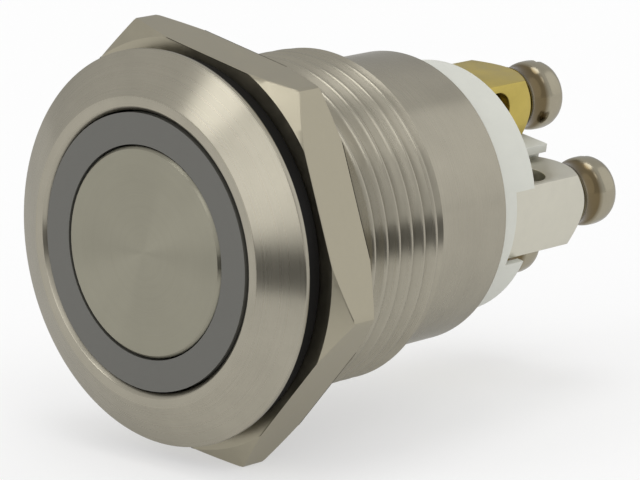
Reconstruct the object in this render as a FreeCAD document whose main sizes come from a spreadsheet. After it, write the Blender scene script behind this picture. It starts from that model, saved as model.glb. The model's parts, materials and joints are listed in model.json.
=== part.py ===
"""Illuminated anti vandal push button for a 19 mm panel hole, with four screw terminals.

Millimetres. The axis of the button is Y: the front faces -Y and the terminals face +Y.
The origin is on the axis, in the plane where the flange meets its seal. +Z is up.
"""
import FreeCAD, Part
import os
import re
import Sketcher

# Driving dimensions. Each is one cell of the sheet, with its name as the alias.
SIZES = {
    # flange and barrel, one turned piece
    "flange_overhang": 1.5,
    "flange_height": 1.6,
    "flange_rim": 0.3,
    "land_width": 0.55,
    "ring_seat_width": 0.3,
    "ring_bore_depth": 2.8,
    "ring_bore_chamfer": 0.25,
    "thread_length": 12.7,
    "thread_chamfer": 0.45,
    "barrel_step": 1.05,
    "barrel_length": 18.75,
    "barrel_wall": 0.95,
    # rubber seal and nut
    "seal_setback": 0.4,
    "seal_height": 1.2,
    "seal_clearance": 0.05,
    "nut_wall": 1.5,
    "nut_height": 3.5,
    "nut_face_setback": 0.2,
    "nut_chamfer_angle": 30.0,
    "nut_clearance": 0.06,
    "nut_clock": 11.4,
    # lit ring with its light guide
    "ring_recess": 0.05,
    "ring_clearance": 0.1,
    "ring_width": 1.75,
    "ring_depth": 3.8,
    "guide_clearance": 0.15,
    "guide_wall": 0.65,
    "guide_length": 2.4,
    # pusher
    "travel": 2.0,
    "stop_gap": 0.05,
    "pusher_clearance": 0.1,
    "pusher_chamfer": 0.15,
    "pusher_front_wall": 1.2,
    "lip_clearance": 0.15,
    "lip_height": 0.8,
    "groove_start": 1.7,
    "groove_width": 1.0,
    "groove_depth": 0.75,
    "skirt_wall": 0.7,
    "oring_clearance": 0.03,
    # plunger behind the pusher
    "plunger_clearance": 0.05,
    "plunger_head_height": 2.4,
    "stem_radius": 2.2,
    "stem_end_gap": 1.6,
    "window_length": 2.4,
    "window_clearance": 0.1,
    # springs
    "stem_spring_gap": 0.4,
    "return_wire_radius": 0.2,
    "contact_coil_radius": 0.8,
    "contact_wire_radius": 0.12,
    "spring_gap": 0.02,
    # light board
    "board_clearance": 0.15,
    "board_thickness": 0.8,
    "board_edge_clearance": 0.1,
    "board_hole_gap": 0.6,
    "led_setback": 0.4,
    "led_length": 1.0,
    "led_width": 0.55,
    "led_height": 0.5,
    "resistor_setback": 2.0,
    "resistor_length": 2.0,
    "resistor_width": 1.25,
    "resistor_height": 0.5,
    "resistor_pocket_clearance": 0.2,
    # contact frame and moving bridge
    "frame_length": 5.6,
    "frame_front_wall": 1.2,
    "chamber_clearance": 0.04,
    "insert_clearance": 0.05,
    "stem_clearance": 0.08,
    "bridge_overhang": 0.9,
    "bridge_width": 2.4,
    "bridge_thickness": 0.5,
    "bridge_wipe": 0.4,
    "contact_radius": 0.8,
    "contact_height": 0.35,
    "contact_gap": 0.05,
    # white base
    "base_projection": 3.65,
    "chamber_depth": 3.0,
    "rim_gap": 0.4,
    "rim_wall": 0.45,
    "rim_depth": 2.25,
    "notch_clearance": 0.1,
    "notch_depth": 1.6,
    "core_end_gap": 0.05,
    "core_wall": 1.2,
    "core_recess": 4.0,
    "core_seat_depth": 0.5,
    "core_ledge": 0.35,
    "core_clearance": 0.05,
    "well_clearance": 0.3,
    "well_depth": 0.9,
    # terminals and their screws
    "terminal_clock": 10.1,
    "terminal_circle": 4.6,
    "block_width": 4.25,
    "block_outer": 2.0,
    "block_inner": 1.55,
    "contact_block_length": 7.95,
    "lamp_block_length": 7.4,
    "block_end_radius": 1.8,
    "block_chamfer_angle": 48.0,
    "wire_hole_radius": 1.25,
    "wire_hole_place": 3.85,
    "wire_hole_offset": 0.3,
    "tail_width": 2.4,
    "tail_thickness": 0.8,
    "pin_radius": 0.5,
    "pin_clearance": 0.05,
    "foot_length": 3.0,
    "foot_width": 2.8,
    "foot_thickness": 0.6,
    "screw_radius": 1.25,
    "screw_clearance": 0.05,
    "screw_length": 2.3,
    "collar_radius": 1.65,
    "collar_height": 1.35,
    "head_radius": 2.05,
    "head_height": 1.7,
    "head_chamfer": 0.45,
    "head_underside": 0.35,
    "slot_width": 0.55,
    "slot_depth": 0.85,
    "slot_turn_1": -8.0,
    "slot_turn_2": 71.0,
    "slot_turn_3": 70.0,
    "slot_turn_4": 10.0,
}

# Radii as expressions over the sizes: from the terminals out to the flange, then from the barrel's bore inward.
RIM_INNER_RADIUS = "(terminal_circle + block_outer + rim_gap)"
INSERT_RADIUS = f"({RIM_INNER_RADIUS} + rim_wall)"
BARREL_BORE_RADIUS = f"({INSERT_RADIUS} + insert_clearance)"
BARREL_RADIUS = f"({BARREL_BORE_RADIUS} + barrel_wall)"
THREAD_RADIUS = f"({BARREL_RADIUS} + barrel_step)"
FLANGE_RADIUS = f"({THREAD_RADIUS} + flange_overhang)"
SEAL_RADIUS = f"({FLANGE_RADIUS} - seal_setback)"
NUT_BORE_RADIUS = f"({THREAD_RADIUS} + nut_clearance)"
NUT_FLAT_RADIUS = f"({THREAD_RADIUS} + nut_wall)"
NUT_FACE_RADIUS = f"({NUT_FLAT_RADIUS} - nut_face_setback)"
NUT_CORNER_RADIUS = f"({NUT_FLAT_RADIUS} / cos(30 * 1 deg))"
RING_BORE_RADIUS = f"({BARREL_BORE_RADIUS} + ring_seat_width)"
RING_INNER_RADIUS = f"({RING_BORE_RADIUS} - ring_clearance - ring_width)"
GUIDE_RADIUS = f"({BARREL_BORE_RADIUS} - guide_clearance)"
GUIDE_INNER_RADIUS = f"({GUIDE_RADIUS} - guide_wall)"
PUSHER_RADIUS = f"({RING_INNER_RADIUS} - pusher_clearance)"
GROOVE_RADIUS = f"({PUSHER_RADIUS} - groove_depth)"
PUSHER_BORE_RADIUS = f"({GROOVE_RADIUS} - skirt_wall)"
LIP_RADIUS = f"({GUIDE_INNER_RADIUS} - lip_clearance)"
RETURN_COIL_RADIUS = "(stem_radius + stem_spring_gap + return_wire_radius)"
BOARD_HOLE_RADIUS = f"({RETURN_COIL_RADIUS} + return_wire_radius + board_hole_gap)"
BOARD_RADIUS = f"({BARREL_BORE_RADIUS} - board_edge_clearance)"
LED_CIRCLE = f"({BOARD_RADIUS} - led_setback)"
RESISTOR_CIRCLE = f"({BOARD_RADIUS} - resistor_setback)"
CHAMBER_RADIUS = "(hypot(terminal_circle + foot_length / 2; foot_width / 2) + chamber_clearance)"
PIN_HOLE_RADIUS = "(pin_radius + pin_clearance)"
CORE_HEIGHT = "(2 * (terminal_circle - block_inner - core_clearance))"
CORE_WIDTH = f"({CORE_HEIGHT} + 2 * core_seat_depth)"
CORE_LENGTH = "(lamp_block_length - core_end_gap)"
NOTCH_WIDTH = "(block_width + 2 * notch_clearance)"

# Places along the axis, from the front to the back, as expressions over the sizes.
FRONT = "(-flange_height)"
RING_SHOULDER = f"({FRONT} + ring_bore_depth)"
STOP_FACE = f"({FRONT} + ring_depth)"
GUIDE_END = f"({STOP_FACE} + guide_length)"
LIP_FRONT = f"({STOP_FACE} + stop_gap)"
LIP_BACK = f"({LIP_FRONT} + lip_height)"
CUP_FLOOR = f"({FRONT} + pusher_front_wall)"
PLUNGER_HEAD_BACK = f"({CUP_FLOOR} + plunger_head_height)"
BOARD_FRONT = f"({LIP_BACK} + travel + board_clearance)"
BOARD_BACK = f"({BOARD_FRONT} + board_thickness)"
FRAME_FLOOR = f"({BOARD_BACK} + frame_front_wall)"
FRAME_BACK = f"({BOARD_BACK} + frame_length)"
CHAMBER_FLOOR = f"({FRAME_BACK} + chamber_depth)"
FOOT_FRONT = f"({CHAMBER_FLOOR} - foot_thickness)"
FIXED_CONTACT_FACE = f"({FOOT_FRONT} - contact_height)"
BRIDGE_STROKE = "(travel - bridge_wipe)"
BRIDGE_BACK = f"({FIXED_CONTACT_FACE} - contact_gap - {BRIDGE_STROKE} - contact_height)"
BRIDGE_FRONT = f"({BRIDGE_BACK} - bridge_thickness)"
WINDOW_FRONT = f"({BRIDGE_BACK} - window_length)"
STEM_BACK = f"({CHAMBER_FLOOR} - stem_end_gap)"
RIM_END = "(barrel_length + base_projection)"
RIM_FLOOR = f"({RIM_END} - rim_depth)"
CONTACT_BLOCK_END = f"({RIM_FLOOR} + contact_block_length)"
LAMP_BLOCK_END = f"({RIM_FLOOR} + lamp_block_length)"
WIRE_HOLE_PLACE = f"({RIM_FLOOR} + wire_hole_place)"
NUT_FRONT = "seal_height"

X_AXIS = FreeCAD.Vector(1, 0, 0)
Y_AXIS = FreeCAD.Vector(0, 1, 0)
QUARTER_TURN = 90
SIXTH_TURN = 60
RETURN_CLIMBING_HALVES = 4
CONTACT_CLIMBING_HALVES = 3
SCREW_ENDS = (LAMP_BLOCK_END, CONTACT_BLOCK_END, LAMP_BLOCK_END, CONTACT_BLOCK_END)

doc = FreeCAD.newDocument("push_button")
sub_parts = []


def fill_sheet():
    """Write every driving dimension to the sheet."""
    sheet = doc.addObject("Spreadsheet::Sheet", "sizes")
    for row, (name, size) in enumerate(SIZES.items(), start=1):
        sheet.set(f"A{row}", name)
        sheet.set(f"B{row}", str(size))
        sheet.setAlias(f"B{row}", name)
    doc.recompute()


def bound(expression):
    """The expression with each size's name pointing at its cell."""
    return re.sub(r"[a-z]\w+", lambda word: f"sizes.{word[0]}" if word[0] in SIZES else word[0], expression)


def bind(thing, **properties):
    """Bind properties to expressions over the sizes. An underscore pair in a name stands for a dot."""
    for name, expression in properties.items():
        thing.setExpression(name.replace("__", "."), bound(expression))


def turn_about_axis(thing, angle):
    """Turn a sub-part about the button's axis by an angle in degrees, clockwise as seen from the front."""
    thing.Placement = FreeCAD.Placement(FreeCAD.Vector(), FreeCAD.Rotation(Y_AXIS, 1))
    bind(thing, Placement__Rotation__Angle=f"({angle}) * 1 deg")


def stand_on_circle(thing, circle, angle, own_turn="0"):
    """Put a sub-part's own axis on a circle about the button's axis, facing outward, with a turn of its own."""
    turn_about_axis(thing, f"{angle} + {own_turn}")
    bind(thing,
         Placement__Base__x=f"{circle} * sin(({angle}) * 1 deg)",
         Placement__Base__z=f"{circle} * cos(({angle}) * 1 deg)")


def keep(thing, label):
    """Name a finished sub-part."""
    thing.Label = label
    sub_parts.append(thing)
    return thing


def new_body(name):
    return doc.addObject("PartDesign::Body", name)


def new_sketch(body, name, role):
    """An empty sketch on one of the body's own origin planes."""
    sketch = body.newObject("Sketcher::SketchObject", name)
    plane = next(feature for feature in body.Origin.OriginFeatures if feature.Role == role)
    sketch.AttachmentSupport = [(plane, "")]
    sketch.MapMode = "FlatFace"
    return sketch


def dimension(sketch, kind, places, expression):
    """Constrain a sketch by a dimension bound to an expression."""
    constraint = sketch.addConstraint(Sketcher.Constraint(kind, *places, 1.0))
    sketch.setExpression(f"Constraints[{constraint}]", bound(expression))


def draw_outline(sketch, corners):
    """Draw a closed outline through corners given as pairs of expressions."""
    ruler = doc.addObject("App::FeaturePython", "ruler")
    ruler.addProperty("App::PropertyFloat", "across")
    ruler.addProperty("App::PropertyFloat", "along")
    places = []
    for across, along in corners:
        bind(ruler, across=across, along=along)
        doc.recompute([ruler])
        places.append((ruler.across, ruler.along))
    doc.removeObject(ruler.Name)
    count = len(corners)
    for number, (across, along) in enumerate(places):
        following = places[(number + 1) % count]
        line = Part.LineSegment(FreeCAD.Vector(across, along, 0), FreeCAD.Vector(*following, 0))
        sketch.addGeometry(line)
    for number in range(count):
        sketch.addConstraint(Sketcher.Constraint("Coincident", number, 2, (number + 1) % count, 1))
    for number, (corner, place) in enumerate(zip(corners, places)):
        for kind, expression, size in zip(("DistanceX", "DistanceY"), corner, place):
            constraint = sketch.addConstraint(Sketcher.Constraint(kind, -1, 1, number, 1, size))
            sketch.setExpression(f"Constraints[{constraint}]", bound(expression))


def turned(name, corners):
    """A body turned about its own Y axis from an outline of (radius, place along the axis)."""
    body = new_body(name)
    sketch = new_sketch(body, f"{name}_outline", "XY_Plane")
    draw_outline(sketch, corners)
    revolution = body.newObject("PartDesign::Revolution", f"{name}_turned")
    revolution.Profile = sketch
    revolution.ReferenceAxis = (sketch, ["V_Axis"])
    revolution.Angle = 360
    return body


def box(name, length, width, height, x, y, z):
    """A box given by its size along X, Y and Z and the centre of its front face."""
    block = doc.addObject("Part::Box", name)
    bind(block, Length=length, Width=width, Height=height, Placement__Base__x=f"{x} - ({length}) / 2",
         Placement__Base__y=y, Placement__Base__z=f"{z} - ({height}) / 2")
    return block


def rod(name, radius, length, x, y, z):
    """A round rod along Y that starts at a point."""
    cylinder = doc.addObject("Part::Cylinder", name)
    cylinder.Placement = FreeCAD.Placement(FreeCAD.Vector(), FreeCAD.Rotation(X_AXIS, -QUARTER_TURN))
    bind(cylinder, Radius=radius, Height=length, Placement__Base__x=x, Placement__Base__y=y, Placement__Base__z=z)
    return cylinder


def cross_rod(name, radius, length, y, z):
    """A round rod along X, with its middle over the Y axis."""
    cylinder = doc.addObject("Part::Cylinder", name)
    cylinder.Placement = FreeCAD.Placement(FreeCAD.Vector(), FreeCAD.Rotation(Y_AXIS, QUARTER_TURN))
    bind(cylinder, Radius=radius, Height=length, Placement__Base__x=f"-({length}) / 2", Placement__Base__y=y,
         Placement__Base__z=z)
    return cylinder


def oblong(length, width):
    """Corners of a rectangle about the origin, across and up."""
    across, up = f"({length}) / 2", f"({width}) / 2"
    return [(f"-{across}", f"-{up}"), (across, f"-{up}"), (across, up), (f"-{across}", up)]


def padded(name, corners, start, length):
    """A body padded along Y from an outline of (X, Z)."""
    body = new_body(name)
    sketch = new_sketch(body, f"{name}_outline", "XZ_Plane")
    bind(sketch, AttachmentOffset__Base__z=f"-({start})")
    draw_outline(sketch, corners)
    pad = body.newObject("PartDesign::Pad", f"{name}_pad")
    pad.Profile = sketch
    pad.Reversed = True
    bind(pad, Length=length)
    return body


def fused(name, pieces):
    union = doc.addObject("Part::MultiFuse", name)
    union.Shapes = pieces
    union.Refine = True
    return union


def cut(name, base, tools):
    """The base with every tool cut away."""
    tool = tools[0] if len(tools) == 1 else fused(f"{name}_tools", tools)
    difference = doc.addObject("Part::Cut", name)
    difference.Base = base
    difference.Tool = tool
    return difference


def wire_section(across, along, radius):
    """Corners of a square wire section about a point, with two sides square to the Y axis."""
    reach = f"{radius} * cos(45 * 1 deg)"
    return [(f"{across} + {x} * {reach}", f"{along} + {y} * {reach}")
            for x, y in ((-1, -1), (1, -1), (1, 1), (-1, 1))]


def coil(name, coil_radius, wire_radius, start, length, climbing_halves):
    """A wire wound about the Y axis: a flat half turn at each end and climbing half turns between.

    Each half turn is the section turned by half a circle about a line square to the chord of that half turn.
    """
    body = new_body(name)
    climb = f"(({length}) - 2 * {wire_radius}) / {climbing_halves}"
    place = f"{start} + {wire_radius}"
    side = 1
    for number in range(climbing_halves + 2):
        rise = "0" if number in (0, climbing_halves + 1) else climb
        sketch = new_sketch(body, f"{name}_section_{number}", "XY_Plane")
        draw_outline(sketch, wire_section(f"{side} * {coil_radius}", place, wire_radius))
        hub = sketch.addGeometry(Part.LineSegment(FreeCAD.Vector(), Y_AXIS), True)
        middle = f"({place} + {rise} / 2)"
        dimension(sketch, "DistanceX", (-1, 1, hub, 1), "0")
        dimension(sketch, "DistanceY", (-1, 1, hub, 1), middle)
        dimension(sketch, "DistanceX", (-1, 1, hub, 2), f"{side} * {rise} / 2")
        dimension(sketch, "DistanceY", (-1, 1, hub, 2), f"{middle} + {coil_radius}")
        half_turn = body.newObject("PartDesign::Revolution", f"{name}_half_{number}")
        half_turn.Profile = sketch
        half_turn.ReferenceAxis = (sketch, ["Axis0"])
        half_turn.Angle = 180
        half_turn.Reversed = True
        place = f"({place} + {rise})"
        side = -side
    return body


def make_housing():
    """Flange with a conical face, threaded barrel and smooth barrel end, turned as one piece."""
    keep(turned("housing", [
        (RING_BORE_RADIUS, f"{FRONT} + ring_bore_chamfer"),
        (f"{RING_BORE_RADIUS} + ring_bore_chamfer", FRONT),
        (f"{RING_BORE_RADIUS} + ring_bore_chamfer + land_width", FRONT),
        (FLANGE_RADIUS, "-flange_rim"),
        (FLANGE_RADIUS, "0"),
        (THREAD_RADIUS, "0"),
        (THREAD_RADIUS, "thread_length - thread_chamfer"),
        (f"{THREAD_RADIUS} - thread_chamfer", "thread_length"),
        (BARREL_RADIUS, "thread_length"),
        (BARREL_RADIUS, "barrel_length"),
        (BARREL_BORE_RADIUS, "barrel_length"),
        (BARREL_BORE_RADIUS, RING_SHOULDER),
        (RING_BORE_RADIUS, RING_SHOULDER),
    ]), "housing")


def make_seal():
    """Flat rubber seal between the flange and the panel."""
    keep(turned("panel_seal", [
        (f"{THREAD_RADIUS} + seal_clearance", "0"),
        (SEAL_RADIUS, "0"),
        (SEAL_RADIUS, "seal_height"),
        (f"{THREAD_RADIUS} + seal_clearance", "seal_height"),
    ]), "panel_seal")


def make_nut():
    """Hexagon nut: a prism with both ends turned to a chamfer and a bored thread hole."""
    height = "nut_height"
    drop = f"({NUT_CORNER_RADIUS} - {NUT_FACE_RADIUS}) * tan(nut_chamfer_angle * 1 deg)"
    blank = turned("nut_blank", [
        (NUT_BORE_RADIUS, NUT_FRONT),
        (NUT_FACE_RADIUS, NUT_FRONT),
        (NUT_CORNER_RADIUS, f"{NUT_FRONT} + {drop}"),
        (NUT_CORNER_RADIUS, f"{NUT_FRONT} + {height} - {drop}"),
        (NUT_FACE_RADIUS, f"{NUT_FRONT} + {height}"),
        (NUT_BORE_RADIUS, f"{NUT_FRONT} + {height}"),
    ])
    prism = doc.addObject("Part::Prism", "nut_prism")
    prism.Polygon = 6
    prism.Placement = FreeCAD.Placement(FreeCAD.Vector(), FreeCAD.Rotation(X_AXIS, -QUARTER_TURN))
    bind(prism, Circumradius=NUT_CORNER_RADIUS, Height=height, Placement__Base__y=NUT_FRONT)
    nut = doc.addObject("Part::MultiCommon", "hex_nut")
    nut.Shapes = [blank, prism]
    turn_about_axis(nut, "nut_clock")
    keep(nut, "hex_nut")


def make_led_ring():
    """Translucent ring that lies in the flange, with a thin light guide tube behind it."""
    outer = f"{RING_BORE_RADIUS} - ring_clearance"
    keep(turned("led_ring", [
        (RING_INNER_RADIUS, f"{FRONT} + ring_recess"),
        (outer, f"{FRONT} + ring_recess"),
        (outer, RING_SHOULDER),
        (GUIDE_RADIUS, RING_SHOULDER),
        (GUIDE_RADIUS, GUIDE_END),
        (GUIDE_INNER_RADIUS, GUIDE_END),
        (GUIDE_INNER_RADIUS, STOP_FACE),
        (RING_INNER_RADIUS, STOP_FACE),
    ]), "led_ring")


def make_pusher():
    """Turned steel cap with a seal groove in its skirt and a lip that stops it behind the ring."""
    groove_front = f"{FRONT} + groove_start"
    keep(turned("pusher", [
        ("0", FRONT),
        (f"{PUSHER_RADIUS} - pusher_chamfer", FRONT),
        (PUSHER_RADIUS, f"{FRONT} + pusher_chamfer"),
        (PUSHER_RADIUS, groove_front),
        (GROOVE_RADIUS, groove_front),
        (GROOVE_RADIUS, f"{groove_front} + groove_width"),
        (PUSHER_RADIUS, f"{groove_front} + groove_width"),
        (PUSHER_RADIUS, LIP_FRONT),
        (LIP_RADIUS, LIP_FRONT),
        (LIP_RADIUS, LIP_BACK),
        (PUSHER_BORE_RADIUS, LIP_BACK),
        (PUSHER_BORE_RADIUS, CUP_FLOOR),
        ("0", CUP_FLOOR),
    ]), "pusher")


def make_pusher_oring():
    """Soft ring in the pusher's groove, which keeps water out of the ring's bore."""
    section = f"(({RING_INNER_RADIUS} - oring_clearance - {GROOVE_RADIUS}) / 2)"
    middle = f"{FRONT} + groove_start + groove_width / 2"
    corners = [(f"{GROOVE_RADIUS} + {section} * (1 + cos({corner * SIXTH_TURN} * 1 deg))",
                f"{middle} + {section} * sin({corner * SIXTH_TURN} * 1 deg)") for corner in range(6)]
    keep(turned("pusher_oring", corners), "pusher_oring")


def make_plunger():
    """Plastic plunger: a head pressed in the pusher and a stem with a window for the bridge."""
    head_radius = f"({PUSHER_BORE_RADIUS} - plunger_clearance)"
    blank = turned("plunger_blank", [
        ("0", CUP_FLOOR),
        (head_radius, CUP_FLOOR),
        (head_radius, PLUNGER_HEAD_BACK),
        ("stem_radius", PLUNGER_HEAD_BACK),
        ("stem_radius", STEM_BACK),
        ("0", STEM_BACK),
    ])
    window = box("plunger_window", "3 * stem_radius", "window_length", "bridge_width + 2 * window_clearance",
                 "0", WINDOW_FRONT, "0")
    plunger = cut("plunger", blank, [window])
    turn_about_axis(plunger, "terminal_clock")
    keep(plunger, "plunger")


def make_springs():
    """Return spring under the plunger's head and the small spring that presses the bridge."""
    keep(coil("return_spring", RETURN_COIL_RADIUS, "return_wire_radius", f"{PLUNGER_HEAD_BACK} + spring_gap",
              f"{BOARD_BACK} - {PLUNGER_HEAD_BACK} - 2 * spring_gap", RETURN_CLIMBING_HALVES), "return_spring")
    keep(coil("contact_spring", "contact_coil_radius", "contact_wire_radius", f"{WINDOW_FRONT} + spring_gap",
              f"{BRIDGE_FRONT} - {WINDOW_FRONT} - 2 * spring_gap", CONTACT_CLIMBING_HALVES), "contact_spring")


def make_contact_bridge():
    """Bar across the stem with a round contact at each end."""
    bar = box("bridge_bar", "2 * (terminal_circle + bridge_overhang)", "bridge_thickness", "bridge_width", "0",
              BRIDGE_FRONT, "0")
    contacts = [rod(f"bridge_contact_{side}", "contact_radius", "contact_height", f"{sign} * terminal_circle",
                    BRIDGE_BACK, "0") for side, sign in (("left", -1), ("right", 1))]
    bridge = fused("contact_bridge", [bar, *contacts])
    turn_about_axis(bridge, "terminal_clock")
    keep(bridge, "contact_bridge")


def make_light_board():
    """Ring-shaped board with four lamps towards the light guide and a resistor behind."""
    blank = turned("board_blank", [
        (BOARD_HOLE_RADIUS, BOARD_FRONT),
        (BOARD_RADIUS, BOARD_FRONT),
        (BOARD_RADIUS, BOARD_BACK),
        (BOARD_HOLE_RADIUS, BOARD_BACK),
    ])
    holes = [rod(f"board_hole_{side}", PIN_HOLE_RADIUS, "2 * board_thickness", "0",
                 f"{BOARD_FRONT} - board_thickness / 2", f"{sign} * terminal_circle")
             for side, sign in (("upper", 1), ("lower", -1))]
    board = cut("led_board", blank, holes)
    turn_about_axis(board, "terminal_clock")
    keep(board, "led_board")
    for number in range(4):
        lamp = padded(f"led_{number + 1}", oblong("led_length", "led_width"), f"{BOARD_FRONT} - led_height",
                      "led_height")
        stand_on_circle(lamp, LED_CIRCLE, f"terminal_clock + {number * QUARTER_TURN + QUARTER_TURN / 2}")
        keep(lamp, f"led_{number + 1}")
    resistor = padded("led_resistor", oblong("resistor_length", "resistor_width"), BOARD_BACK, "resistor_height")
    stand_on_circle(resistor, RESISTOR_CIRCLE, f"terminal_clock + {QUARTER_TURN / 2}")
    keep(resistor, "led_resistor")


def make_contact_frame():
    """Plastic cup that guides the stem, carries the light board and roofs the contact chamber."""
    blank = turned("frame_blank", [
        ("stem_radius + stem_clearance", BOARD_BACK),
        (INSERT_RADIUS, BOARD_BACK),
        (INSERT_RADIUS, FRAME_BACK),
        (CHAMBER_RADIUS, FRAME_BACK),
        (CHAMBER_RADIUS, FRAME_FLOOR),
        ("stem_radius + stem_clearance", FRAME_FLOOR),
    ])
    pocket = padded("resistor_pocket",
                    oblong("resistor_length + 2 * resistor_pocket_clearance",
                           "resistor_width + 2 * resistor_pocket_clearance"),
                    BOARD_BACK, "resistor_height + resistor_pocket_clearance")
    stand_on_circle(pocket, RESISTOR_CIRCLE, str(QUARTER_TURN / 2))
    holes = [rod(f"frame_hole_{side}", PIN_HOLE_RADIUS, "2 * frame_front_wall", "0",
                 f"{BOARD_BACK} - frame_front_wall / 2", f"{sign} * terminal_circle")
             for side, sign in (("upper", 1), ("lower", -1))]
    frame = cut("contact_frame", blank, [pocket, *holes])
    turn_about_axis(frame, "terminal_clock")
    keep(frame, "contact_frame")


def make_core():
    """Oblong core that the four terminals stand round, with a recess in its end and a seat in each side."""
    solid = box("core_solid", CORE_WIDTH, CORE_LENGTH, CORE_HEIGHT, "0", RIM_FLOOR, "0")
    recess = box("core_recess_box", f"{CORE_WIDTH} - 2 * core_wall", "2 * core_recess",
                 f"{CORE_HEIGHT} - 2 * core_wall", "0", f"{RIM_FLOOR} + {CORE_LENGTH} - core_recess", "0")
    seats = [box(f"core_seat_{side}", "2 * core_seat_depth", CORE_LENGTH, "block_width + 2 * core_ledge",
                 f"{sign} * {CORE_WIDTH} / 2", RIM_FLOOR, "0") for side, sign in (("left", -1), ("right", 1))]
    return cut("base_core", solid, [recess, *seats])


def make_base():
    """White base that closes the barrel, with a rim, a core and a seat for every terminal."""
    well_radius = "stem_radius + well_clearance"
    plug = turned("base_plug", [
        ("0", f"{CHAMBER_FLOOR} + well_depth"),
        (well_radius, f"{CHAMBER_FLOOR} + well_depth"),
        (well_radius, CHAMBER_FLOOR),
        (CHAMBER_RADIUS, CHAMBER_FLOOR),
        (CHAMBER_RADIUS, FRAME_BACK),
        (INSERT_RADIUS, FRAME_BACK),
        (INSERT_RADIUS, RIM_END),
        (RIM_INNER_RADIUS, RIM_END),
        (RIM_INNER_RADIUS, RIM_FLOOR),
        ("0", RIM_FLOOR),
    ])
    notches = box("rim_notches", f"2 * {BARREL_RADIUS}", "2 * notch_depth", NOTCH_WIDTH, "0",
                  f"{RIM_END} - notch_depth", "0")
    body = fused("base_body", [cut("notched_plug", plug, [notches]), make_core()])
    depth = f"{RIM_FLOOR} - {CHAMBER_FLOOR}"
    seats = [box(f"tail_slot_{side}", "tail_thickness + 2 * pin_clearance", depth, "tail_width + 2 * pin_clearance",
                 f"{sign} * terminal_circle", CHAMBER_FLOOR, "0") for side, sign in (("left", -1), ("right", 1))]
    seats += [rod(f"pin_hole_{side}", PIN_HOLE_RADIUS, depth, "0", CHAMBER_FLOOR, f"{sign} * terminal_circle")
              for side, sign in (("upper", 1), ("lower", -1))]
    base = cut("base", body, seats)
    turn_about_axis(base, "terminal_clock")
    keep(base, "base")


def terminal(name, end, tail):
    """Terminal with its screw hole on its own axis: a chamfered block, a wire hole across and a tail."""
    reach = "(block_width / 2 + block_outer)"
    drop = f"({reach} - block_end_radius) * tan(block_chamfer_angle * 1 deg)"
    ended = turned(f"{name}_end", [
        ("0", RIM_FLOOR),
        (reach, RIM_FLOOR),
        (reach, f"{end} - {drop}"),
        ("block_end_radius", end),
        ("0", end),
    ])
    block = box(f"{name}_block", "block_width", f"{end} - {RIM_FLOOR}", "block_outer + block_inner", "0", RIM_FLOOR,
                "(block_outer - block_inner) / 2")
    shaped = doc.addObject("Part::MultiCommon", f"{name}_shaped")
    shaped.Shapes = [ended, block]
    tap = rod(f"{name}_tap", "screw_radius + screw_clearance", f"{end} - {WIRE_HOLE_PLACE}", "0", WIRE_HOLE_PLACE,
              "0")
    hole = cross_rod(f"{name}_hole", "wire_hole_radius", "2 * block_width", WIRE_HOLE_PLACE, "wire_hole_offset")
    return cut(name, fused(f"{name}_solid", [shaped, tail]), [tap, hole])


def make_terminals():
    """Two contact terminals with flat tails and two lamp terminals with pins that reach the board."""
    for number in (1, 2):
        name = f"contact_terminal_{number}"
        tail = box(f"{name}_tail", "tail_width", f"{RIM_FLOOR} - {CHAMBER_FLOOR}", "tail_thickness", "0",
                   CHAMBER_FLOOR, "0")
        piece = terminal(name, CONTACT_BLOCK_END, tail)
        stand_on_circle(piece, "terminal_circle", f"terminal_clock + {(2 * number - 1) * QUARTER_TURN}")
        keep(piece, name)
        name = f"lamp_terminal_{number}"
        pin = rod(f"{name}_pin", "pin_radius", f"{RIM_FLOOR} - {BOARD_FRONT}", "0", BOARD_FRONT, "0")
        piece = terminal(name, LAMP_BLOCK_END, pin)
        stand_on_circle(piece, "terminal_circle", f"terminal_clock + {(2 * number - 2) * QUARTER_TURN}")
        keep(piece, name)


def make_fixed_contacts():
    """Contact feet on the chamber floor, each against the tail of its terminal."""
    for number in (1, 2):
        name = f"fixed_contact_{number}"
        foot = box(f"{name}_foot", "foot_width", "foot_thickness", "foot_length", "0", FOOT_FRONT, "0")
        button = rod(f"{name}_button", "contact_radius", "contact_height", "0", FIXED_CONTACT_FACE, "0")
        piece = fused(name, [foot, button])
        stand_on_circle(piece, "terminal_circle", f"terminal_clock + {(2 * number - 1) * QUARTER_TURN}")
        keep(piece, name)


def make_clamp_screws():
    """Slotted screws with a chamfered head and a collar that seats on the end of each terminal."""
    for number, end in enumerate(SCREW_ENDS, start=1):
        name = f"clamp_screw_{number}"
        tip = f"{end} - screw_length"
        seat = f"{end} + collar_height"
        head_end = f"{seat} + head_height"
        blank = turned(f"{name}_blank", [
            ("0", tip),
            ("screw_radius", tip),
            ("screw_radius", end),
            ("collar_radius", end),
            ("collar_radius", seat),
            ("head_radius", f"{seat} + head_underside"),
            ("head_radius", f"{head_end} - head_chamfer"),
            ("head_radius - head_chamfer", head_end),
            ("0", head_end),
        ])
        slot = box(f"{name}_slot", "slot_width", "2 * slot_depth", "3 * head_radius", "0",
                   f"{head_end} - slot_depth", "0")
        screw = cut(name, blank, [slot])
        stand_on_circle(screw, "terminal_circle", f"terminal_clock + {(number - 1) * QUARTER_TURN}",
                        f"slot_turn_{number}")
        keep(screw, name)


fill_sheet()
make_housing()
make_seal()
make_nut()
make_led_ring()
make_pusher()
make_pusher_oring()
make_plunger()
make_springs()
make_contact_bridge()
make_light_board()
make_contact_frame()
make_base()
make_terminals()
make_fixed_contacts()
make_clamp_screws()

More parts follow.
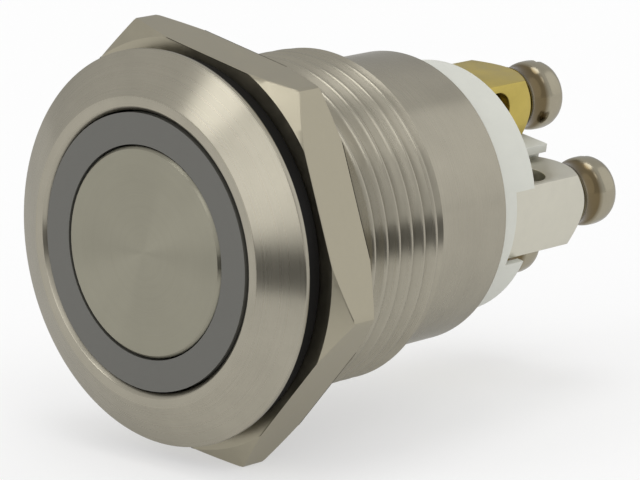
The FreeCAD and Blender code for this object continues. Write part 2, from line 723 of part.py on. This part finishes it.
doc.recompute()
for thing in doc.Objects:
    if "Invalid" in thing.State or "Error" in thing.State:
        raise RuntimeError(f"{thing.Name} failed: {thing.State}")
for thing in sub_parts:
    if thing.Shape.isNull() or not thing.Shape.isValid():
        raise RuntimeError(f"{thing.Label} has no valid shape")

os.makedirs("parts", exist_ok=True)
for thing in sub_parts:
    thing.Shape.exportStep(f"parts/{thing.Label}.step")
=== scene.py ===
"""Looks of the illuminated push button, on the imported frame.

Metres. The button's axis is Y: its front faces -Y and its terminals face +Y. +Z is up.
"""
import json
import math

import bmesh
import bpy
from mathutils import Matrix, Vector

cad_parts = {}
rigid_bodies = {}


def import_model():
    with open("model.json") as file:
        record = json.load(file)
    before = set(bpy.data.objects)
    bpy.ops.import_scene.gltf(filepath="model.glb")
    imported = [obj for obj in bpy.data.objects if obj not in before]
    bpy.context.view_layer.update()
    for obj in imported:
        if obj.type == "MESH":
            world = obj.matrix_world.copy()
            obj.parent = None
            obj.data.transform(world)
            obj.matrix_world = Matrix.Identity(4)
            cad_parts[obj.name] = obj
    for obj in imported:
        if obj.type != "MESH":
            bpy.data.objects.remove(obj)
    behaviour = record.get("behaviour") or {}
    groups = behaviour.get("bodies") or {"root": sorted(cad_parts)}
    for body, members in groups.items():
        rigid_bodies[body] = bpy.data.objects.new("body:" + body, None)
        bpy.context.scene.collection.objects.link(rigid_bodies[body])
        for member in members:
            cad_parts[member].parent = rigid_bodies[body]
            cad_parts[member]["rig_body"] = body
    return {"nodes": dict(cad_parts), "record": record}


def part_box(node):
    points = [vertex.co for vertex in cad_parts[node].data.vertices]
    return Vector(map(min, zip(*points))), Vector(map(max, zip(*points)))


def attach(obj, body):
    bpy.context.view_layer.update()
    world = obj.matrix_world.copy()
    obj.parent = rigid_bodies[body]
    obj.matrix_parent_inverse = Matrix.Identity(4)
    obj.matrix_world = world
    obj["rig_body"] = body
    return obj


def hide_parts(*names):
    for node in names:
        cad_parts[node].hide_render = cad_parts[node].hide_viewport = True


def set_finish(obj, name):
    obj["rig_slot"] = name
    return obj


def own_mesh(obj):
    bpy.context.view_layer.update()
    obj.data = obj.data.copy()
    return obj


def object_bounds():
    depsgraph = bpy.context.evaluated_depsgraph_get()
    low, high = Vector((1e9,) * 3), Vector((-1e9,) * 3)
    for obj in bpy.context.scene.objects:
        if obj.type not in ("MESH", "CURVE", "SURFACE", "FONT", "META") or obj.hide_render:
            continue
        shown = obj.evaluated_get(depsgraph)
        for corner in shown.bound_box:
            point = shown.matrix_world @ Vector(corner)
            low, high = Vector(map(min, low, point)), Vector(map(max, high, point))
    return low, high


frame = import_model()
cad_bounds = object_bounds()
nodes = frame["nodes"]
mounts = {mount["name"]: mount for mount in frame["record"]["mounts"]}

MM = 0.001
# Points nearer to each other than this, in metres, become one
MERGE_DISTANCE = 2e-7
# Edges that turn by more than this, in degrees, look sharp
SHARP_ANGLE = 35.0
# Runs that a rounded corner of a turned outline is made of
ROUNDING_STEPS = 4

# Camera of the photograph, from the fit of its ellipses
CAMERA_PLACE = Vector((153.06, -148.95, 48.94)) * MM
CAMERA_AZIMUTH = math.radians(43.5)
CAMERA_ELEVATION = math.radians(12.8)
CAMERA_LENS = 225.95
CAMERA_SENSOR = 36.0
CAMERA_NEAR = 0.005

# Housing, in millimetres; the rest comes from the frame
BORE_RADIUS = 7.8
BORE_CHAMFER = 0.25
LAND_RADIUS = 8.6
FLANGE_RIM = 0.3
SHOULDER = 1.2
BARREL_RADIUS = 8.45
BARREL_BORE_RADIUS = 7.5
THREAD_END = 12.7
THREAD_CHAMFER = 0.45
THREAD_PITCH = 1.0
THREAD_START = 0.4
THREAD_CREST = mounts["barrel_thread"]["dims"]["r_mm"]
EDGE = 0.06
# One pitch of the thread as (share of the pitch, depth below the crest in millimetres)
THREAD_FORM = ((0.0, 0.01), (0.06, 0.0), (0.12, 0.015), (0.17, 0.06), (0.47, 0.47), (0.535, 0.52),
               (0.6, 0.47), (0.86, 0.12), (0.94, 0.04))
AROUND = 360
# The housing's mesh has the flange's material first, then these
BARREL_INDEX = 1
THREAD_INDEX = 2
# A face counts as the smooth barrel's from this far before the end of the thread
BARREL_MARGIN = 0.02

# Nut, in millimetres and degrees
NUT_FLAT_RADIUS = 11.0
NUT_CORNER_RADIUS = 12.66
NUT_FACE_RADIUS = 11.45
NUT_CHAMFER_ANGLE = 30.0
NUT_HEIGHT = 3.0
NUT_CLOCK = 11.4
NUT_CLEARANCE = 0.06
# Broken edge between a chamfer and the nut's side, inwards and along the axis
NUT_BREAK = (0.04, 0.05)
NUT_SHARP_ANGLE = 20.0
# The front face, whose normals are nearer to -Y than this, has the second material: painted shade
# of the gap before the nut
NUT_FACE_NORMAL = -0.999
NUT_FACE_INDEX = 1

# Clamp screws, in millimetres and degrees; the form of neck and head is (radius, height over the
# terminal's end)
SCREW_FORM = ((1.95, 0.0), (1.9, 0.12), (1.83, 0.3), (1.78, 0.6), (1.77, 0.95), (1.82, 1.2),
              (1.92, 1.4), (2.01, 1.55), (2.04, 1.75), (2.05, 2.0), (2.05, 2.3), (2.01, 2.55),
              (1.92, 2.75), (1.77, 2.92), (1.5, 3.03), (1.1, 3.05))
SCREW_RADIUS = 1.25
SCREW_AROUND = 72
SLOT_WIDTH = 0.55
SLOT_DEPTH = 0.85
SLOT_REACH = 8.0
SLOT_TURNS = (-8.0, 71.0, 70.0, 10.0)
# Tones along a screw as (height over the terminal's end, colour); the dark bronze band on the neck,
# under the head, is painted shade
SCREW_BRIGHT = (0.34, 0.31, 0.235)
SCREW_UNDERHEAD_SHADE = (0.15, 0.115, 0.062)
SCREW_BANDS = ((-0.2, SCREW_BRIGHT), (0.15, SCREW_BRIGHT), (0.4, SCREW_UNDERHEAD_SHADE), (1.3, SCREW_UNDERHEAD_SHADE),
               (1.55, SCREW_BRIGHT), (3.1, SCREW_BRIGHT))

# Copies of nodes with rounded edges: how wide, in millimetres, and the angles in degrees above
# which an edge is rounded and below which neighbouring facets become one face
SOFT_WIDTHS = {"base": 0.1, "contact_terminal_1": 0.08, "contact_terminal_2": 0.08,
               "lamp_terminal_1": 0.08, "lamp_terminal_2": 0.08, "panel_seal": 0.1}
SOFT_SEGMENTS = 3
SOFT_EDGE_ANGLE = 25.0
SOFT_FLAT_ANGLE = 0.3

# Materials: the spans of a noise that are stretched for soft and for crisp tones, then how rough
# surfaces vary, how fine their clouds and grain are, and how deep bumps are in millimetres
SOFT_SPAN = (0.25, 0.75)
CRISP_SPAN = (0.3, 0.7)
ROUGHNESS_SPREAD = 0.05
CLOUD_SCALE = 900.0
GRAIN_SCALE = 7200.0
GRAIN_BUMP = 0.05
BUMP_DEPTH = 0.02

# Studio, in metres and degrees
FLOOR_HALF = 3.0
FLOOR_GREY = 0.92
# Share of the floor's own white in what the camera, metal and glass see; the rest takes light and
# shadow
FLOOR_WHITE = 0.5
SURROUND = 0.75
# Soft lights as (name, direction towards it, strength, angle across)
SUNS = (
    ("key_box", (-0.267, -0.775, 0.574), 0.22, 19),
    ("front_box", (0.1, -0.955, 0.276), 0.37, 40),
    ("side_box", (0.55, -0.3, 0.78), 0.25, 30),
    ("back_box", (0.46, 0.81, 0.356), 0.26, 58),
    ("top_box", (-0.02, 0.0, 1.0), 0.45, 28),
)
# Dark card: distance from the axis, upper edge, and where its corners stand round the button
FLAG_DISTANCE = 0.04
FLAG_TOP = -0.0002
FLAG_ANGLES = range(-4, 105, 6)
FLAG_GREY = 0.05
FLAG_GLOW = 0.1


def finished(name, mesh, body, slot, replaced, sharp=SHARP_ANGLE):
    """An object of the mesh that rides on a body and stands for its CAD nodes."""
    mesh.shade_smooth()
    mesh.set_sharp_from_angle(angle=math.radians(sharp))
    piece = bpy.data.objects.new(name, mesh)
    bpy.context.scene.collection.objects.link(piece)
    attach(piece, body)
    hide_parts(*replaced)
    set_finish(piece, slot)
    return piece


def rounded(corners):
    """Points of an outline whose corners (radius, place, rounding) become short curves.

    The first and the last corner have no rounding.
    """
    points = []
    for number, (across, along, rounding) in enumerate(corners):
        corner = Vector((across, along))
        if rounding == 0:
            points.append(corner)
            continue
        before = Vector(corners[number - 1][:2]) - corner
        after = Vector(corners[number + 1][:2]) - corner
        start = corner + before.normalized() * min(rounding, before.length / 2)
        end = corner + after.normalized() * min(rounding, after.length / 2)
        for step in range(ROUNDING_STEPS + 1):
            share = step / ROUNDING_STEPS
            points.append(start * (1 - share) ** 2 + corner * (2 * share * (1 - share))
                          + end * share ** 2)
    return points


def cleaned(name, points, faces):
    """A mesh whose doubled points are merged and whose faces look outwards."""
    mesh = bpy.data.meshes.new(name)
    mesh.from_pydata(points, [], faces)
    work = bmesh.new()
    work.from_mesh(mesh)
    bmesh.ops.remove_doubles(work, verts=work.verts, dist=MERGE_DISTANCE)
    bmesh.ops.dissolve_degenerate(work, edges=work.edges, dist=MERGE_DISTANCE)
    bmesh.ops.recalc_face_normals(work, faces=work.faces)
    work.to_mesh(mesh)
    work.free()
    return mesh


def mesh_from_columns(name, columns, closed):
    """A mesh through columns of points that run round the Y axis."""
    rows = len(columns[0])
    points = [point for column in columns for point in column]
    count = len(columns)
    faces = []
    for i in range(count):
        j = (i + 1) % count
        for row in range(rows if closed else rows - 1):
            following = (row + 1) % rows
            faces.append((i * rows + row, i * rows + following,
                          j * rows + following, j * rows + row))
    return cleaned(name, points, faces)


def on_circle(radius, along, angle):
    """A point in metres from a radius and a place along the axis in millimetres."""
    return (radius * math.sin(angle) * MM, along * MM, radius * math.cos(angle) * MM)


def thread_depth(share):
    """Depth below the crest at a share of the pitch."""
    form = THREAD_FORM + ((1.0, THREAD_FORM[0][1]),)
    for (start, low), (end, high) in zip(form, form[1:]):
        if start <= share <= end:
            return low + (high - low) * (share - start) / (end - start)
    return form[0][1]


def make_housing():
    """Flange, barrel and a true helical thread in one mesh."""
    low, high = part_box("housing")
    flange_radius = high.x / MM
    front, end = low.y / MM, high.y / MM
    before = rounded([
        (BARREL_BORE_RADIUS, SHOULDER, 0),
        (BORE_RADIUS, SHOULDER, 0),
        (BORE_RADIUS, front + BORE_CHAMFER, EDGE),
        (BORE_RADIUS + BORE_CHAMFER, front, EDGE),
        (LAND_RADIUS, front, EDGE),
        (flange_radius, -FLANGE_RIM, EDGE),
        (flange_radius, 0, EDGE),
        (THREAD_CREST - THREAD_CHAMFER, 0, 0),
    ])
    after = rounded([
        (BARREL_RADIUS, THREAD_END, 0),
        (BARREL_RADIUS, end, 2 * EDGE),
        (BARREL_BORE_RADIUS, end, EDGE),
        (BARREL_BORE_RADIUS, SHOULDER, 0),
    ])
    turns = math.ceil((THREAD_END - THREAD_START) / THREAD_PITCH) + 1
    rows = [(turn - 1 + share) * THREAD_PITCH
            for turn in range(turns + 1) for share, _ in THREAD_FORM]
    columns = []
    for number in range(AROUND):
        angle = 2 * math.pi * number / AROUND
        lead = THREAD_PITCH * number / AROUND
        column = [on_circle(point.x, point.y, angle) for point in before]
        for row in rows:
            along = min(max(THREAD_START + row + lead, THREAD_START), THREAD_END)
            depth = thread_depth((along - THREAD_START - lead) / THREAD_PITCH % 1.0)
            radius = min(THREAD_CREST - depth, THREAD_CREST - THREAD_CHAMFER + THREAD_END - along)
            column.append(on_circle(radius, along, angle))
        column += [on_circle(point.x, point.y, angle) for point in after]
        columns.append(column)
    mesh = helical_mesh("housing_turned", columns, len(before), len(THREAD_FORM), len(rows))
    for face in mesh.polygons:
        along = face.center.y / MM
        if along > THREAD_END - BARREL_MARGIN:
            face.material_index = BARREL_INDEX
        elif along > THREAD_START:
            face.material_index = THREAD_INDEX
    return finished("housing_turned", mesh, "housing", "stainless", ["housing"])


def helical_mesh(name, columns, first, step, rows):
    """Columns joined in a ring, which closes with the thread's rows one pitch further on."""
    size = len(columns[0])
    points = [point for column in columns for point in column]
    count = len(columns)
    faces = []
    for i in range(count - 1):
        for row in range(size - 1):
            here, there = i * size + row, (i + 1) * size + row
            faces.append((here, here + 1, there + 1, there))
    last = (count - 1) * size

    def partner(row):
        inside = first <= row < first + rows
        return min(row + step, first + rows - 1) if inside else row

    for row in range(size - 1):
        corners = [last + row, last + row + 1, partner(row + 1), partner(row)]
        if len(set(corners)) == 4:
            faces.append(corners)
        elif corners[2] == corners[3]:
            faces.append(corners[:3])
    return cleaned(name, points, faces)


def make_nut():
    """Hexagon nut whose chamfers leave a straight edge in the middle of each side."""
    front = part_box("hex_nut")[0].y / MM
    end = front + NUT_HEIGHT
    bore = THREAD_CREST + NUT_CLEARANCE
    slope = math.tan(math.radians(NUT_CHAMFER_ANGLE))
    side = math.pi / 3
    inwards, onwards = NUT_BREAK
    columns = []
    for number in range(AROUND):
        angle = 2 * math.pi * number / AROUND
        across = (angle + side / 2) % side - side / 2
        outer = min(NUT_FLAT_RADIUS / math.cos(across), NUT_CORNER_RADIUS)
        face = min(NUT_FACE_RADIUS, outer)
        drop = (outer - face) * slope
        places = [(bore, end), (bore, front), (face, front),
                  (outer - inwards, front + drop), (outer, front + drop + onwards),
                  (outer, end - drop - onwards), (outer - inwards, end - drop), (face, end)]
        turn = angle + math.radians(NUT_CLOCK)
        columns.append([on_circle(radius, along, turn) for radius, along in places])
    mesh = mesh_from_columns("nut_chamfered", columns, closed=True)
    for face in mesh.polygons:
        # The front face takes a dark tone, painted shade of the narrow gap between flange and nut
        if face.normal.y < NUT_FACE_NORMAL:
            face.material_index = NUT_FACE_INDEX
    return finished("nut_chamfered", mesh, "nut", "nut_nickel", ["hex_nut"], NUT_SHARP_ANGLE)


def make_screw(number):
    """Slotted clamp screw with a waisted neck and a rounded head."""
    name = f"clamp_screw_{number}"
    low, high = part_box(name)
    centre = (low + high) / 2
    end = high.y / MM - SCREW_FORM[-1][1]
    outline = [(0, low.y / MM), (SCREW_RADIUS, low.y / MM), (SCREW_RADIUS, end)]
    outline += [(radius, end + along) for radius, along in SCREW_FORM] + [(0, high.y / MM)]
    columns = []
    for step in range(SCREW_AROUND):
        turn = 2 * math.pi * step / SCREW_AROUND
        columns.append([Vector((centre.x, 0, centre.z)) + Vector(on_circle(radius, along, turn))
                        for radius, along in outline])
    blank_mesh = mesh_from_columns(f"{name}_blank", columns, closed=False)
    blank = bpy.data.objects.new(f"{name}_blank", blank_mesh)
    cutter = bpy.data.objects.new(f"{name}_cutter", bpy.data.meshes.new(f"{name}_cutter"))
    place = Matrix.Translation((centre.x, high.y, centre.z))
    clock = math.atan2(centre.x, centre.z) + math.radians(SLOT_TURNS[number - 1])
    turned = Matrix.Rotation(clock, 4, "Y")
    size = Matrix.Diagonal((SLOT_WIDTH * MM, 2 * SLOT_DEPTH * MM, SLOT_REACH * MM, 1))
    work = bmesh.new()
    bmesh.ops.create_cube(work, size=1.0, matrix=place @ turned @ size)
    work.to_mesh(cutter.data)
    work.free()
    for thing in (blank, cutter):
        bpy.context.scene.collection.objects.link(thing)
    slotting = blank.modifiers.new("slot", "BOOLEAN")
    slotting.operation = "DIFFERENCE"
    slotting.solver = "EXACT"
    slotting.object = cutter
    depsgraph = bpy.context.evaluated_depsgraph_get()
    mesh = bpy.data.meshes.new_from_object(blank.evaluated_get(depsgraph))
    mesh.name = f"{name}_round"
    for thing in (blank, cutter):
        bpy.data.objects.remove(thing)
    return finished(f"{name}_round", mesh, nodes[name]["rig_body"], "screw_nickel", [name])


def make_springs():
    """Copies of the springs that the frame's joints list as deforming, each with a mesh of its own.
    """
    springs = []
    for joint in frame["record"]["behaviour"]["joints"]:
        for spring in joint.get("deforming_nodes", []):
            name = spring["node"]
            mesh = nodes[name].data.copy()
            mesh.name = f"{name}_coil"
            piece = finished(mesh.name, mesh, nodes[name]["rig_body"], "spring_steel", [name])
            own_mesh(piece)
            springs.append(piece)
    return springs


def softened(name, slot, width):
    """A copy of a CAD node with its sharp edges rounded."""
    mesh = nodes[name].data.copy()
    mesh.name = f"{name}_soft"
    work = bmesh.new()
    work.from_mesh(mesh)
    bmesh.ops.remove_doubles(work, verts=work.verts, dist=MERGE_DISTANCE)
    bmesh.ops.dissolve_limit(work, angle_limit=math.radians(SOFT_FLAT_ANGLE), verts=work.verts,
                             edges=work.edges)
    edges = [edge for edge in work.edges if len(edge.link_faces) == 2
             and edge.calc_face_angle() > math.radians(SOFT_EDGE_ANGLE)]
    bmesh.ops.bevel(work, geom=edges, offset=width * MM, segments=SOFT_SEGMENTS, profile=0.5,
                    affect="EDGES", clamp_overlap=True)
    work.to_mesh(mesh)
    work.free()
    return finished(f"{name}_soft", mesh, nodes[name]["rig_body"], slot, [name])


def grey(value):
    return (value, value, value, 1)


def new_material(name):
    """A material with its node tree and its shader."""
    material = bpy.data.materials.new(name)
    material.use_nodes = True
    tree = material.node_tree
    return material, tree, tree.nodes["Principled BSDF"]


def node(tree, kind, **values):
    """A shader node with its properties and sockets set."""
    made = tree.nodes.new(kind)
    for name, value in values.items():
        if name in made.inputs:
            made.inputs[name].default_value = value
        else:
            setattr(made, name, value)
    return made


def turned_coordinates(tree):
    """Distance from the axis and place along it, so that a texture runs round the button."""
    place = node(tree, "ShaderNodeTexCoord")
    parts = node(tree, "ShaderNodeSeparateXYZ")
    flat = node(tree, "ShaderNodeCombineXYZ")
    length = node(tree, "ShaderNodeVectorMath", operation="LENGTH")
    joined = node(tree, "ShaderNodeCombineXYZ")
    tree.links.new(place.outputs["Object"], parts.inputs[0])
    tree.links.new(parts.outputs["X"], flat.inputs["X"])
    tree.links.new(parts.outputs["Z"], flat.inputs["Z"])
    tree.links.new(flat.outputs[0], length.inputs[0])
    tree.links.new(length.outputs["Value"], joined.inputs["X"])
    tree.links.new(parts.outputs["Y"], joined.inputs["Y"])
    return joined.outputs[0]


def varied(tree, noise, span, middle, by):
    """A value that goes from middle - by to middle + by as the noise goes through the span."""
    made = node(tree, "ShaderNodeMapRange", **{"From Min": span[0], "From Max": span[1],
                                               "To Min": middle - by, "To Max": middle + by})
    tree.links.new(noise.outputs["Fac"], made.inputs["Value"])
    return made.outputs[0]


def set_bump(tree, shader, noise, strength):
    """Fine bumps on the surface, from the noise."""
    bumped = node(tree, "ShaderNodeBump", Strength=strength, Distance=BUMP_DEPTH * MM)
    tree.links.new(noise.outputs["Fac"], bumped.inputs["Height"])
    tree.links.new(bumped.outputs[0], shader.inputs["Normal"])


def turned_metal(name, colour, roughness, anisotropy, bump, contrast, line_scale=9000.0,
                 mottle=0.06):
    """Metal with fine lines from turning, highlights spread across them and slight clouds."""
    material, tree, shader = new_material(name)
    shader.inputs["Metallic"].default_value = 1.0
    shader.inputs["Specular Tint"].default_value = grey(0.7)
    shader.inputs["Anisotropic"].default_value = anisotropy
    shader.inputs["Anisotropic Rotation"].default_value = 0.25
    tangent = node(tree, "ShaderNodeTangent", direction_type="RADIAL", axis="Y")
    tree.links.new(tangent.outputs[0], shader.inputs["Tangent"])
    lines = node(tree, "ShaderNodeTexNoise", Scale=line_scale, Detail=3.0, Roughness=0.6)
    tree.links.new(turned_coordinates(tree), lines.inputs["Vector"])
    place = node(tree, "ShaderNodeTexCoord")
    clouds = node(tree, "ShaderNodeTexNoise", Scale=350.0, Detail=4.0, Roughness=0.6)
    tree.links.new(place.outputs["Object"], clouds.inputs["Vector"])
    both = node(tree, "ShaderNodeMath", operation="MULTIPLY")
    tree.links.new(varied(tree, clouds, SOFT_SPAN, 1, mottle), both.inputs[0])
    tree.links.new(varied(tree, lines, CRISP_SPAN, 1, contrast), both.inputs[1])
    tint = node(tree, "ShaderNodeVectorMath", operation="SCALE")
    tint.inputs[0].default_value = colour
    tree.links.new(both.outputs[0], tint.inputs["Scale"])
    tree.links.new(tint.outputs[0], shader.inputs["Base Color"])
    rough = varied(tree, lines, CRISP_SPAN, roughness, contrast / 2)
    tree.links.new(rough, shader.inputs["Roughness"])
    set_bump(tree, shader, lines, bump)
    return material


def cloudy(name, colour, roughness, metallic, mottle=0.05, bands=None):
    """A surface with soft clouds in its tone and roughness and a fine grain.

    Bands are pairs of a place along the axis in millimetres and the colour there.
    """
    material, tree, shader = new_material(name)
    shader.inputs["Metallic"].default_value = metallic
    if metallic:
        shader.inputs["Specular Tint"].default_value = grey(0.75)
    place = node(tree, "ShaderNodeTexCoord")
    clouds = node(tree, "ShaderNodeTexNoise", Scale=CLOUD_SCALE, Detail=5.0, Roughness=0.6)
    grain = node(tree, "ShaderNodeTexNoise", Scale=GRAIN_SCALE, Detail=2.0, Roughness=0.5)
    tree.links.new(place.outputs["Object"], clouds.inputs["Vector"])
    tree.links.new(place.outputs["Object"], grain.inputs["Vector"])
    tint = node(tree, "ShaderNodeVectorMath", operation="SCALE")
    tint.inputs[0].default_value = colour
    if bands:
        first, last = bands[0][0], bands[-1][0]
        parts = node(tree, "ShaderNodeSeparateXYZ")
        tree.links.new(place.outputs["Object"], parts.inputs[0])
        share = node(tree, "ShaderNodeMapRange",
                     **{"From Min": first * MM, "From Max": last * MM})
        tree.links.new(parts.outputs["Y"], share.inputs["Value"])
        ramp = node(tree, "ShaderNodeValToRGB")
        while len(ramp.color_ramp.elements) < len(bands):
            ramp.color_ramp.elements.new(0.5)
        for element, (along, shade) in zip(ramp.color_ramp.elements, bands):
            element.position = (along - first) / (last - first)
            element.color = (*shade, 1)
        tree.links.new(share.outputs[0], ramp.inputs[0])
        tree.links.new(ramp.outputs[0], tint.inputs[0])
    tree.links.new(varied(tree, clouds, SOFT_SPAN, 1, mottle), tint.inputs["Scale"])
    tree.links.new(tint.outputs[0], shader.inputs["Base Color"])
    rough = varied(tree, clouds, CRISP_SPAN, roughness, ROUGHNESS_SPREAD)
    tree.links.new(rough, shader.inputs["Roughness"])
    set_bump(tree, shader, grain, GRAIN_BUMP)
    return material


def make_camera():
    """Camera of the photograph."""
    camera = bpy.data.cameras.new("camera")
    camera.lens = CAMERA_LENS
    camera.sensor_width = CAMERA_SENSOR
    camera.clip_start = CAMERA_NEAR
    view = bpy.data.objects.new("camera", camera)
    right = Vector((math.cos(CAMERA_AZIMUTH), math.sin(CAMERA_AZIMUTH), 0))
    back = Vector((math.sin(CAMERA_AZIMUTH) * math.cos(CAMERA_ELEVATION),
                   -math.cos(CAMERA_AZIMUTH) * math.cos(CAMERA_ELEVATION),
                   math.sin(CAMERA_ELEVATION)))
    turned = Matrix((right, back.cross(right), back)).transposed()
    view.matrix_world = Matrix.Translation(CAMERA_PLACE) @ turned.to_4x4()
    bpy.context.scene.collection.objects.link(view)
    bpy.context.scene.camera = view


def make_sun(name, towards, strength, angle):
    """A wide soft light at a great distance, in the direction given."""
    light = bpy.data.lights.new(name, "SUN")
    light.energy = strength
    light.angle = math.radians(angle)
    lamp = bpy.data.objects.new(name, light)
    lamp.rotation_mode = "QUATERNION"
    lamp.rotation_quaternion = Vector(towards).to_track_quat("Z", "Y")
    bpy.context.scene.collection.objects.link(lamp)


def make_studio():
    """Pale floor, even surround, five soft lights and a dark card."""
    lowest = cad_bounds[0][2]
    half = FLOOR_HALF
    mesh = bpy.data.meshes.new("floor")
    mesh.from_pydata([(-half, -half, lowest), (half, -half, lowest), (half, half, lowest),
                      (-half, half, lowest)], [], [(0, 1, 2, 3)])
    floor = bpy.data.objects.new("floor", mesh)
    bpy.context.scene.collection.objects.link(floor)
    material, tree, shader = new_material("floor_white")
    shader.inputs["Base Color"].default_value = grey(FLOOR_GREY)
    shader.inputs["Roughness"].default_value = 0.9
    shader.inputs["Specular IOR Level"].default_value = 0.1
    seen = node(tree, "ShaderNodeLightPath")
    direct = node(tree, "ShaderNodeMath", operation="ADD", use_clamp=True)
    rays = node(tree, "ShaderNodeMath", operation="ADD", use_clamp=True)
    share = node(tree, "ShaderNodeMath", operation="MULTIPLY")
    white = node(tree, "ShaderNodeEmission", Strength=1.0)
    mixed = node(tree, "ShaderNodeMixShader")
    tree.links.new(seen.outputs["Is Camera Ray"], direct.inputs[0])
    tree.links.new(seen.outputs["Is Glossy Ray"], direct.inputs[1])
    tree.links.new(direct.outputs[0], rays.inputs[0])
    tree.links.new(seen.outputs["Is Transmission Ray"], rays.inputs[1])
    tree.links.new(rays.outputs[0], share.inputs[0])
    share.inputs[1].default_value = FLOOR_WHITE
    tree.links.new(share.outputs[0], mixed.inputs[0])
    tree.links.new(shader.outputs[0], mixed.inputs[1])
    tree.links.new(white.outputs[0], mixed.inputs[2])
    tree.links.new(mixed.outputs[0], tree.nodes["Material Output"].inputs["Surface"])
    mesh.materials.append(material)
    world = bpy.data.worlds.new("surround")
    world.use_nodes = True
    bpy.context.scene.world = world
    background = world.node_tree.nodes["Background"]
    background.inputs["Color"].default_value = grey(1.0)
    background.inputs["Strength"].default_value = SURROUND
    for sun in SUNS:
        make_sun(*sun)
    make_flag(lowest)


def make_flag(lowest):
    """Low dark card round the front and right of the button that only reflections show."""
    turns = [math.radians(angle) for angle in FLAG_ANGLES]
    points = [(FLAG_DISTANCE * math.sin(turn), -FLAG_DISTANCE * math.cos(turn), height)
              for turn in turns for height in (lowest, FLAG_TOP)]
    faces = [(2 * i, 2 * i + 2, 2 * i + 3, 2 * i + 1) for i in range(len(turns) - 1)]
    mesh = bpy.data.meshes.new("flag")
    mesh.from_pydata(points, [], faces)
    flag = bpy.data.objects.new("flag", mesh)
    bpy.context.scene.collection.objects.link(flag)
    flag.visible_camera = False
    flag.visible_diffuse = False
    flag.visible_shadow = False
    material, _, shader = new_material("flag_dark")
    shader.inputs["Base Color"].default_value = grey(FLAG_GREY)
    shader.inputs["Emission Color"].default_value = grey(1)
    shader.inputs["Emission Strength"].default_value = FLAG_GLOW
    mesh.materials.append(material)


def dress():
    """Materials of the nodes and the pieces that stand for some of them."""
    steel = turned_metal("stainless_turned", (0.37, 0.345, 0.28), 0.28, 0.8,
                         bump=0.015, contrast=0.03)
    barrel_steel = turned_metal("stainless_smooth", (0.385, 0.366, 0.3), 0.24, 0.6,
                                bump=0.003, contrast=0.015)
    thread_steel = turned_metal("stainless_thread", (0.445, 0.418, 0.34), 0.24, 0.3,
                                bump=0.005, contrast=0.02)
    spun = turned_metal("stainless_spun", (0.30, 0.286, 0.226), 0.3, 0.9,
                        bump=0.02, contrast=0.02, line_scale=14000.0, mottle=0.03)
    nickel = cloudy("nickel_satin", (0.37, 0.34, 0.26), 0.34, 1.0)
    # Dark tone on the nickel nut's front face: painted shade of the narrow gap between flange and
    # nut
    nut_face_painted_shade = cloudy("painted_shade_nut_face", (0.045, 0.038, 0.03), 0.7, 0.0)
    screw_looks = {}
    for name in ("lamp", "contact"):
        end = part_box(f"{name}_terminal_1")[1].y / MM
        # These bands darken each screw's neck under its head with painted shade
        bands = [(end + height, shade) for height, shade in SCREW_BANDS]
        screw_looks[name] = cloudy(f"nickel_{name}_screw", SCREW_BRIGHT, 0.2, 1.0, 0.08, bands)
    silver = cloudy("silver_plate", (0.61, 0.59, 0.505), 0.4, 1.0)
    brass = cloudy("brass_milled", (0.51, 0.405, 0.11), 0.36, 1.0, mottle=0.1)
    rubber = cloudy("rubber_black", (0.008, 0.0075, 0.007), 0.7, 0.0)
    rubber.node_tree.nodes["Principled BSDF"].inputs["Specular IOR Level"].default_value = 0.15
    ring = cloudy("ring_grey", (0.102, 0.1, 0.088), 0.35, 0.0, mottle=0.03)
    white = cloudy("plastic_white", (0.62, 0.625, 0.565), 0.5, 0.0, mottle=0.03)
    black = cloudy("plastic_black", (0.03, 0.03, 0.035), 0.45, 0.0)
    green = cloudy("board_green", (0.01, 0.06, 0.02), 0.3, 0.0)
    lamp = cloudy("lamp_clear", (0.75, 0.68, 0.35), 0.15, 0.0)
    contact = cloudy("contact_silver", (0.6, 0.6, 0.58), 0.25, 1.0)
    wire = cloudy("spring_wire", (0.3, 0.3, 0.3), 0.25, 1.0)
    looks = {
        "stainless": steel, "pusher_steel": spun, "nut_nickel": nickel,
        "screw_nickel": screw_looks["lamp"], "terminal_silver": silver, "terminal_brass": brass,
        "contact_silver": contact, "spring_steel": wire, "seal_rubber": rubber,
        "ring_plastic": ring, "base_plastic": white, "inner_plastic": black,
        "board_green": green, "lamp_white": lamp, "resistor_black": black,
    }
    slots = {part["node"]: part["material_slot"] for part in frame["record"]["subparts"]}
    pieces = [make_housing(), make_nut()]
    pieces += [make_screw(number) for number in range(1, 5)]
    pieces += make_springs()
    for name, width in SOFT_WIDTHS.items():
        pieces.append(softened(name, slots[name], width))
    for piece in pieces:
        piece.data.materials.clear()
        piece.data.materials.append(looks[piece["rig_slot"]])
    for metal in (barrel_steel, thread_steel):
        bpy.data.objects["housing_turned"].data.materials.append(metal)
    bpy.data.objects["nut_chamfered"].data.materials.append(nut_face_painted_shade)
    for number in (2, 4):
        bpy.data.objects[f"clamp_screw_{number}_round"].data.materials[0] = screw_looks["contact"]
    for name, part in nodes.items():
        part.data.materials.clear()
        part.data.materials.append(looks[slots[name]])


bpy.context.scene.view_settings.view_transform = "Standard"
make_camera()
make_studio()
dress()
